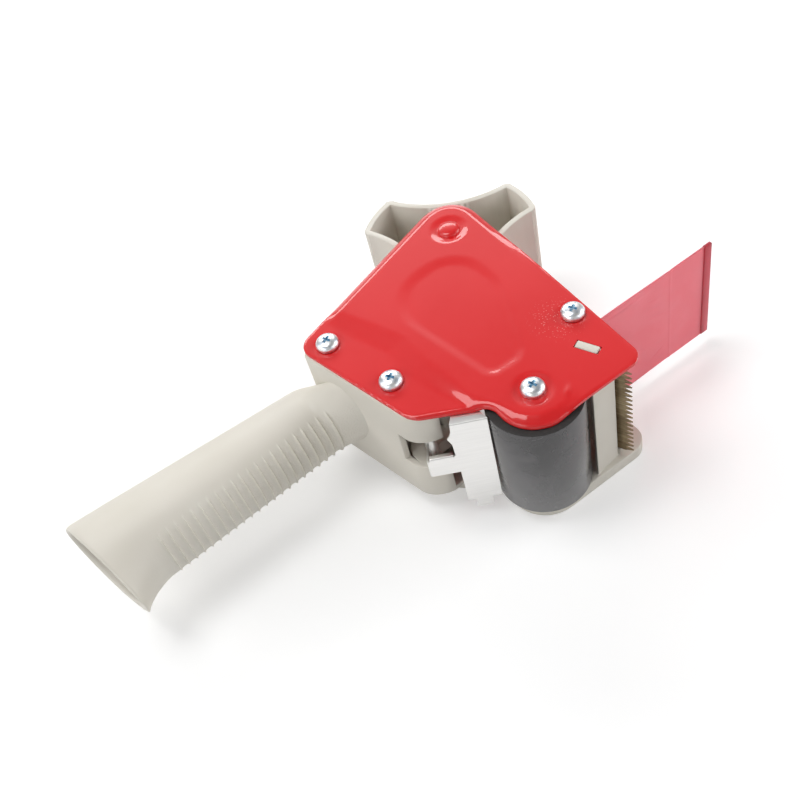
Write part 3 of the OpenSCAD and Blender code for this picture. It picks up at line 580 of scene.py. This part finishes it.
def handle_spot(d, t, grow, spread=1.0):
    """A point of the handle's skin: d mm from the wall, at angle t round it, grown outwards."""
    half = HANDLE_HALF + HANDLE_TAPER * d / HANDLE_L
    neck = (1 - d / NECK_L) ** 2 if d < NECK_L else 0.0
    end = max(0.0, 1 - (HANDLE_L - d) / FLARE_L)
    finger = max(0.0, -math.cos(t))
    sink = 1 - (1 - max(0.0, (1 + math.sin(t)) / 2) ** 1.5) * math.sqrt(finger)
    wide = half + 1.2 * neck + FLARE_H * spread * end ** 1.2 * finger ** 2 + grow
    deep = 0.9 * half + 8 * neck * max(0.0, math.sin(t)) + grow
    y = wide * math.cos(t) - 9.5 * neck * sink
    lean = math.tan(math.radians(BACK_LEAN)) * (neck + end ** 2)
    return Vector((-BACK_X - d - lean * y, HANDLE_Y + y, HANDLE_Z + deep * math.sin(t))) * MM


RIB_FIRST, RIB_LAST, RIB_COUNT, RIB_H, RIB_HALF, RIB_HOLLOW = 7.0, 85.8, 22, 0.75, 0.31, 0.16
RIB_PITCH = (RIB_LAST - RIB_FIRST) / (RIB_COUNT - 1)


def grip_zone(d, t):
    """1 on the ribbed finger side, fading out above and below it."""
    away = math.degrees(t) - 180
    above = float(smooth(62 - 0.15 * d, 50 - 0.15 * d, -away))
    below = float(smooth(72, 58, away))
    return above * below


def finger_rib(d, t):
    """Height of the slim finger ribs, and of the hollows between them, at a place on the handle."""
    k = min(max(round((d - RIB_FIRST) / RIB_PITCH), 0), RIB_COUNT - 1)
    off = abs(d - RIB_FIRST - k * RIB_PITCH)
    ridge = RIB_H * math.exp(-(off / RIB_HALF) ** 2)
    within = RIB_FIRST < d < RIB_LAST
    hollow = RIB_HOLLOW * math.sin(math.pi * off / RIB_PITCH) if within else 0.0
    return grip_zone(d, t) * (ridge - hollow)


def moulded_handle():
    """Rings of skin are drawn out one after another from the wall to the rim and back inside."""
    around, wall, rim_round = 128, 2.6, 2.2
    across_rib = (-0.85, -0.55, -0.35, -0.18, 0.0, 0.18, 0.35, 0.55, 0.85, 1.3, 1.9, 2.4)
    runs = [0, 0.25, 0.6, 1.0, 1.5, 2.1, 2.8, 3.6, 4.5, 5.4]
    runs += [RIB_FIRST + k * RIB_PITCH + off for k in range(RIB_COUNT) for off in across_rib]
    runs += [88.8 + 1.0 * k for k in range(20)]
    outer = [(d, 0.0, 1.0) for d in runs]
    rim = []
    for a in range(0, 181, 18):
        share = (1 - math.cos(math.radians(a))) / 2
        rim.append((HANDLE_L - rim_round * (1 - math.sin(math.radians(a))), -wall * share, 1 - 0.2 * share))
    inner = [(HANDLE_L - rim_round - k * 4.0, -wall, 0.8) for k in range(1, 26)] + [(2.0, -wall, 0.8)]
    bm = bmesh.new()
    bmesh.ops.create_circle(bm, segments=around, radius=MM)
    turn, grip = bm.verts.layers.float.new("turn"), bm.verts.layers.float.new("grip")
    for v in bm.verts:
        v[turn] = math.atan2(v.co.y, v.co.x) % (2 * math.pi)
    loop, verts = bm.edges[:], bm.verts[:]
    for k, (d, grow, spread) in enumerate(outer + rim + inner):
        if k:
            made = bmesh.ops.extrude_edge_only(bm, edges=loop)["geom"]
            verts = [g for g in made if isinstance(g, bmesh.types.BMVert)]
            fresh = set(verts)
            loop = [e for e in bm.edges if e.is_boundary and e.verts[0] in fresh and e.verts[1] in fresh]
        skin = k < len(outer)
        for v in verts:
            t = v[turn]
            v.co = handle_spot(d, t, grow + (finger_rib(d, t) if skin else 0.0), spread)
            v[grip] = grip_zone(d, t) * float(smooth(90, 87, d)) if skin else 0.0
    bm.verts.layers.float.remove(turn)
    bmesh.ops.recalc_face_normals(bm, faces=bm.faces)
    finish_piece(bm, "moulded_handle", ABS, "body", ["handle"], sharp=60)


# Screws


def pan_screw(centre, seat, turn):
    """A pan head with a cross recess, and the shank below it."""
    bm = bmesh.new()
    top = seat + SCREW_H
    dome = ((0, 0), (1.6, 0.05), (2.7, 0.25), (3.6, 0.62), (4.25, 1.15), (4.6, 1.75), (SCREW_R, 2.4))
    skirt = [(SCREW_R, seat + 0.35), (SCREW_R - 0.2, seat)]
    shank = [(SHANK_R, seat), (SHANK_R, seat - SHANK_L + 1), (0, seat - SHANK_L)]
    lathe(bm, [(radius, top - drop) for radius, drop in dome] + skirt + shank, centre, steps=56)
    for a in (0, 90):
        tool = bmesh.new()
        arm = bmesh.ops.create_cube(tool, size=1.0)["verts"]
        bmesh.ops.scale(tool, verts=arm, vec=Vector((RECESS_L, RECESS_W, RECESS_D)) * MM)
        low = [v for v in arm if v.co.z < 0]
        bmesh.ops.scale(tool, verts=low, vec=(0.34, 0.75, 1.0))
        # The recess faces take the second, darker zinc, which is painted shade
        for face in tool.faces:
            face.material_index = 1
        bmesh.ops.rotate(tool, verts=arm, cent=(0, 0, 0),
                         matrix=Matrix.Rotation(math.radians(a + turn), 3, "Z"))
        bmesh.ops.translate(tool, verts=arm, vec=Vector((*centre, top - 0.1)) * MM)
        bm = carve(bm, tool)
    return bm


def join(parts):
    """Put several bmeshes into one."""
    whole = bmesh.new()
    for part in parts:
        mesh = bpy.data.meshes.new("part")
        part.to_mesh(mesh)
        part.free()
        whole.from_mesh(mesh)
        bpy.data.meshes.remove(mesh)
    return whole


def pan_screws():
    """The three screws of the case, and the roller's own in its dish; each is left at some turn."""
    strip_top = SEAT_Z + PLATE_T
    seats = [(SCREW_BACK, strip_top, 24), (SCREW_LOW, strip_top, 31), (SCREW_HEAD, PLATE_TOP, 27)]
    case = join([pan_screw(*place) for place in seats])
    made = finish_piece(case, "case_pan_screws", ZINC, "body", ["case_screws"], sharp=40)
    made.data.materials.append(ZINC_RECESS_SHADE)
    roller = pan_screw((0, 0), PLATE_TOP - ROLLER_DISH, 20)
    made = finish_piece(roller, "roller_pan_screw", ZINC, "body", ["roller_screw"], sharp=40)
    made.data.materials.append(ZINC_RECESS_SHADE)


# Roller, hub, retainer, springs, flap


def rubber_sleeve():
    """A tube with eased rims; its sawn ends take the cut rubber, which is painted darker as shade."""
    bm = bmesh.new()
    low, high, ease, fit = ROLLER_Z, ROLLER_Z + TAPE_W, 0.5, 0.02
    lower_rim = [(CORE_R + fit, low + 0.2), (CORE_R + 0.3, low), (ROLLER_R - ease, low),
                 (ROLLER_R - 0.15, low + 0.15), (ROLLER_R, low + ease)]
    upper_rim = [(radius, low + high - z) for radius, z in reversed(lower_rim)]
    lathe(bm, lower_rim + upper_rim + lower_rim[:1], (0, 0), steps=128)
    # The flat end faces get the second, darker rubber: painted shade under the plate
    for face in bm.faces:
        face.material_index = int(abs(face.normal.z) > 0.8)
    made = finish_piece(bm, "rubber_sleeve", RUBBER, "roller", ["roller_sleeve"])
    made.data.materials.append(CUT_RUBBER_SHADE)


def lobed_hub():
    """The hub's own solid, with its lobes' outer corners rounded and its edges eased."""
    bm = solid_copy("hub")
    axis = Vector((*HUB, 0)) * MM
    corners = [e for e in bm.edges if e.calc_face_angle(0) > math.radians(40)
               and abs(e.verts[0].co.z - e.verts[1].co.z) > 40 * MM
               and ((e.verts[0].co - axis).to_2d().length > (HUB_R - 0.3) * MM)]
    bmesh.ops.bevel(bm, geom=corners, offset=2.2 * MM, offset_type="OFFSET", affect="EDGES", segments=6,
                    profile=0.5, material=-1)
    made = finish_piece(bm, "lobed_hub", ABS, "hub", ["hub"], sharp=180)
    ease_edges(made, 0.35)


def wound_spring(name, centre, z, radius, height, turns, wire, body, stands_for):
    """A round wire spun up its axis."""
    steps = 32
    bm = bmesh.new()
    ring = bmesh.ops.create_circle(bm, segments=12, radius=wire * MM)["verts"]
    bmesh.ops.rotate(bm, verts=ring, cent=(0, 0, 0), matrix=Matrix.Rotation(math.pi / 2, 3, "X"))
    bmesh.ops.translate(bm, verts=ring, vec=Vector((centre[0] + radius, centre[1], z + wire)) * MM)
    bmesh.ops.spin(bm, geom=bm.verts[:] + bm.edges[:], cent=Vector((*centre, 0)) * MM, axis=(0, 0, 1),
                   dvec=(0, 0, (height - 2 * wire) / (turns * steps) * MM), angle=2 * math.pi * turns,
                   steps=turns * steps)
    bmesh.ops.holes_fill(bm, edges=[e for e in bm.edges if e.is_boundary])
    bmesh.ops.recalc_face_normals(bm, faces=bm.faces)
    finish_piece(bm, name, WIRE, body, [stands_for], sharp=50)


def tape_retainer():
    """Bent from one blank: the panel and arm are one flat face, and its edges are spun round the bends."""
    direction = math.radians(PANEL_DIR)
    u = Vector((math.cos(direction), math.sin(direction), 0))
    inward = Vector((-u.y, u.x, 0))
    start = Vector((*PANEL_START, 0))
    up = Vector((0, 0, 1))
    bend, crown, top_z = 1.0, 0.6, 57.9
    blank = [(0.4, 8.4), (3.6, 8.4), (3.6, 2.9), (10.1, 2.9), (10.1, 8.4), (13.9, 8.4), (PANEL_W, 9.2),
             (PANEL_W, top_z - crown), (0, top_z - crown), (-0.2, 53.6), (-0.9, 51.6), (-2.0, 49.6),
             (-1.6, 48.8), (-0.6, 46.4), (-0.3, 39.4), (-1.4, 38.3), (-10.4, 38.3), (-10.6, 38.0),
             (-10.6, 28.5), (0.2, 28.5)]
    bm = bmesh.new()
    spots = [bm.verts.new((start + u * a + up * z) * MM) for a, z in blank]
    bm.faces.new(spots)

    def edge_of(i, j):
        return bm.edges.get((spots[i], spots[j]))

    def fold(edge, hinge, axis, angle, steps, reach, way):
        """Spin an edge round a bend, then draw it out straight."""
        made = bmesh.ops.spin(bm, geom=[edge] + list(edge.verts), cent=hinge * MM, axis=axis,
                              angle=math.radians(angle), steps=steps)["geom_last"]
        last = [g for g in made if isinstance(g, bmesh.types.BMEdge)]
        if not reach:
            return last
        out = bmesh.ops.extrude_edge_only(bm, edges=last)["geom"]
        fresh = [g for g in out if isinstance(g, bmesh.types.BMVert)]
        bmesh.ops.translate(bm, verts=fresh, vec=way * reach * MM)
        kept = set(fresh)
        return [e for e in bm.edges if e.verts[0] in kept and e.verts[1] in kept]

    lip = fold(edge_of(7, 8), start + up * (top_z - crown) + inward * crown, u, -90, 6, 5.4, inward)
    ends = {v for e in lip for v in e.verts}
    for v in ends:
        lean = (v.co / MM - start).dot(u)
        bmesh.ops.translate(bm, verts=[v], vec=u * (-3.4 if lean > PANEL_W / 2 else 1.5) * MM)
    brow = start + up * 38.3 + inward * 0.7
    fold(edge_of(15, 16), brow, u, -90, 5, 1.4, inward)
    heel = start - u * 10.6 + inward * bend
    pin = Vector((*HINGE_PIN, 0))
    to_pin = (pin - heel).normalized()
    swing = math.degrees(u.angle(-to_pin))
    fold(edge_of(17, 18), heel, up, -(180 - swing), 8, (pin - heel).length - 1.2, to_pin)
    bmesh.ops.recalc_face_normals(bm, faces=bm.faces)
    flat = max(bm.faces, key=lambda f: f.calc_area())
    if flat.normal.dot(inward) > 0:
        bmesh.ops.reverse_faces(bm, faces=bm.faces)
    bmesh.ops.solidify(bm, geom=bm.faces[:], thickness=STEEL_T * MM)
    knuckle = bmesh.new()
    lathe(knuckle, [(1.56, 28.5), (2.4, 28.5), (2.4, 39.0), (1.56, 39.0), (1.56, 28.5)], HINGE_PIN, steps=40)
    whole = join([bm, knuckle])
    finish_piece(whole, "bent_retainer", STEEL, "retainer", ["retainer"], sharp=40)


FLAP_HEM, FLAP_CREASE = 4.0, 39.4
# Handling creases of the flap: along and up at each end, in mm from its root and lower edge
CREASES = [((24.9, 43.0), (34.4, 41.3)), ((25.5, 38.2), (35.7, 35.6)), ((26.2, 33.9), (37.0, 29.8)),
           ((26.9, 6.4), (37.7, 11.3)), ((30.3, 14.7), (37.0, 12.8)), ((20.0, 20.5), (25.0, 16.0))]


def flap_relief(a, b):
    """How far the flap's skin stands off its plane: fold line, edge roll and handling creases, in mm."""
    off = 0.16 * np.exp(-((a - FLAP_CREASE) / 0.45) ** 2)
    off = off + 0.22 * np.exp(-((b - 48.2) / 0.9) ** 2) * (1 - smooth(18, 34, a))
    for (a0, b0), (a1, b1) in CREASES:
        ua, ub = a1 - a0, b1 - b0
        t = np.clip(((a - a0) * ua + (b - b0) * ub) / (ua * ua + ub * ub), 0, 1)
        away = np.hypot(a - a0 - t * ua, b - b0 - t * ub + 1.2 * (t - t * t))
        off = off - 0.16 * np.exp(-(away / 0.5) ** 2) * np.sin(np.pi * np.clip(t, 0.06, 0.94))
    return off + 0.25 * np.sin(a / 9.0) * np.sin(b / 17.0 + 0.6) * (1 - smooth(36, 44, a))


def vinyl_flap():
    """A creased sheet with a bead in the socket and a doubled hem, bent across its joint."""
    bm = bmesh.new()
    length = FLAP_L - FLAP_HEM / 2
    bmesh.ops.create_grid(bm, x_segments=170, y_segments=150, size=0.5)
    bmesh.ops.rotate(bm, verts=bm.verts, cent=(0, 0, 0), matrix=Matrix.Rotation(math.pi / 2, 3, "X"))
    bmesh.ops.scale(bm, verts=bm.verts, vec=(length * MM, MM, (FLAP_H - 0.2) * MM))
    bmesh.ops.translate(bm, verts=bm.verts, vec=Vector((length / 2, 0, FLAP_H / 2)) * MM)
    spots = np.array([v.co for v in bm.verts]) / MM
    for vert, off in zip(bm.verts, flap_relief(spots[:, 0], spots[:, 2])):
        vert.co.y -= (off + FLAP_T / 2 - 0.1) * MM
    bmesh.ops.solidify(bm, geom=bm.faces[:], thickness=(FLAP_T - 0.2) * MM)
    hem = bmesh.ops.create_cube(bm, size=1.0)["verts"]
    bmesh.ops.scale(bm, verts=hem, vec=(FLAP_HEM * MM, 1.6 * MM, FLAP_H * MM))
    bmesh.ops.translate(bm, verts=hem, vec=Vector((FLAP_L - FLAP_HEM / 2, 0, FLAP_H / 2)) * MM)
    rim = list({e for v in hem for e in v.link_edges})
    for face in {f for v in hem for f in v.link_faces}:
        face.material_index = 1
    bmesh.ops.bevel(bm, geom=rim, offset=0.45 * MM, offset_type="OFFSET", affect="EDGES", segments=3,
                    profile=0.5, material=-1)
    bead = bmesh.ops.create_cone(bm, cap_ends=True, segments=24, radius1=1.7 * MM, radius2=1.7 * MM,
                                 depth=FLAP_H * MM)["verts"]
    bmesh.ops.translate(bm, verts=bead, vec=(0, 0, FLAP_H / 2 * MM))
    bmesh.ops.translate(bm, verts=bm.verts, vec=Vector((*SOCKET, FLAP_Z)) * MM)
    made = finish_piece(bm, "vinyl_flap", VINYL, None, ["wiper_flap"])
    made.data.materials.append(VINYL_HEM)
    root, free = Vector((SOCKET[0] + 2, SOCKET[1], 30)) * MM, Vector((SOCKET[0] + 20, SOCKET[1], 30)) * MM
    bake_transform(made, "body", "flap", start=root, end=free)


# The solids that stay


def dress(node, material):
    """Give a solid that keeps its own mesh its finish."""
    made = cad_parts[node]
    for place in made.material_slots:
        place.material = material


for node, material in (("roller_spindle", STEEL), ("thrust_washers", ZINC), ("roller_core", POLYAMIDE),
                       ("roller_bushes", BRONZE), ("hub_bush", NYLON), ("hub_stud", STEEL),
                       ("brake_washer", ZINC), ("spring_cup", ZINC), ("adjusting_nut", ZINC),
                       ("blade", BLADE), ("blade_rivets", ZINC), ("retainer_pin", ZINC)):
    dress(node, material)

pressed_side_plate()
painted_stud_head()
moulded_frame()
moulded_handle()
pan_screws()
rubber_sleeve()
lobed_hub()
wound_spring("brake_coil", HUB, 13.1, 6.2, 7.6, 4, 0.6, "body", "brake_spring")
wound_spring("retainer_coil", HINGE_PIN, 39.2, 2.8, 4.4, 3, 0.35, "body", "retainer_spring")
tape_retainer()
vinyl_flap()


# Studio: floor, light and camera


def seen_rays(tree):
    """1 for rays that show the background itself: straight, mirrored or through glass."""
    path = add(tree, "ShaderNodeLightPath")
    seen = add(tree, "ShaderNodeMath", {0: path.outputs["Is Camera Ray"], 1: path.outputs["Is Glossy Ray"]},
               operation="MAXIMUM")
    seen = add(tree, "ShaderNodeMath", {0: seen.outputs["Value"], 1: path.outputs["Is Transmission Ray"]},
               operation="MAXIMUM")
    return seen.outputs["Value"]


def white_floor():
    """White paper: it keeps the shadow near the object, and is plain white farther out."""
    bm = bmesh.new()
    bmesh.ops.create_grid(bm, x_segments=1, y_segments=1, size=4.0)
    floor = new_object("floor", bm)
    white, tree, shader, place = new_finish("white_paper", Roughness=0.9)
    shader.inputs["Base Color"].default_value = linear("#E8E8E8")
    reach = add(tree, "ShaderNodeVectorMath", {0: place}, operation="LENGTH").outputs["Value"]
    glow = add(tree, "ShaderNodeMapRange",
               {"Value": reach, "From Min": 0.4, "From Max": 0.9, "To Min": 0.32, "To Max": 1.0})
    lift = add(tree, "ShaderNodeMath", {0: seen_rays(tree), 1: glow.outputs["Result"]}, operation="MULTIPLY")
    shader.inputs["Emission Color"].default_value = (1, 1, 1, 1)
    tree.links.new(lift.outputs["Value"], shader.inputs["Emission Strength"])
    floor.data.materials.append(white)


def pale_tent():
    """White to the camera and at the horizon; the greys above it show in reflections only."""
    world = bpy.data.worlds.new("studio")
    bpy.context.scene.world = world
    world.use_nodes = True
    sky = world.node_tree
    back = sky.nodes["Background"]
    way = add(sky, "ShaderNodeTexCoord").outputs["Generated"]
    height = add(sky, "ShaderNodeSeparateXYZ", {"Vector": way}).outputs["Z"]
    tent = ramp(sky, height, [(0.02, "#FFFFFF"), (0.08, "#9A9A9A"), (0.50, "#B4B4B4"), (0.68, "#DCDCDC"),
                              (0.79, "#A8A8A8"), (0.86, "#8C8C8C")])
    straight = add(sky, "ShaderNodeLightPath").outputs["Is Camera Ray"]
    shown = add(sky, "ShaderNodeMixRGB", {"Fac": straight, "Color1": tent, "Color2": (1, 1, 1, 1)})
    level = add(sky, "ShaderNodeMapRange", {"Value": seen_rays(sky), "To Min": 0.25, "To Max": 1.0})
    sky.links.new(shown.outputs["Color"], back.inputs["Color"])
    sky.links.new(level.outputs["Result"], back.inputs["Strength"])


def soft_boxes():
    """Six soft boxes aimed at the object: place from its middle, width and height in metres, watts."""
    middle = Vector((-0.03, 0.05, 0.03))
    lamps = (("top_box", (-0.23, 0.29, 1.09), 0.54, 0.54, 5.2),
             ("back_box", (0.43, 0.96, 0.58), 1.10, 0.30, 6.2),
             ("right_box", (1.02, -0.42, 0.48), 0.70, 0.60, 5.2),
             ("front_box", (0.42, -1.02, 0.48), 0.60, 0.60, 2.0),
             ("left_box", (-1.02, -0.30, 0.54), 0.70, 0.60, 3.2),
             ("left_back_box", (-0.90, 0.54, 0.58), 0.70, 0.60, 2.4))
    for name, spot, wide, tall, power in lamps:
        lamp = bpy.data.lights.new(name, "AREA")
        lamp.energy, lamp.shape, lamp.size, lamp.size_y = power, "RECTANGLE", wide, tall
        made = bpy.data.objects.new(name, lamp)
        made.location = middle + Vector(spot)
        made.rotation_euler = Vector(spot).to_track_quat("Z", "Y").to_euler()
        bpy.context.scene.collection.objects.link(made)


def set_camera():
    """The view from above the handle's finger side; the place is in mm and the axes are the camera's own."""
    scene = bpy.context.scene
    eye = bpy.data.cameras.new("camera")
    eye.sensor_width, eye.lens = 36.0, 47.2
    eye.clip_start, eye.clip_end = 0.01, 20.0
    camera = bpy.data.objects.new("camera", eye)
    right = (0.7997, -0.5708, -0.1862)
    above = (0.5475, 0.5660, 0.6163)
    behind = (-0.2464, -0.5949, 0.7651)
    turned = Matrix((right, above, behind)).transposed().to_4x4()
    turned.translation = Vector((-133.9, -200.1, 357.3)) * MM
    camera.matrix_world = turned
    scene.collection.objects.link(camera)
    scene.camera = camera
    scene.view_settings.view_transform = "Standard"


white_floor()
pale_tent()
soft_boxes()
set_camera()
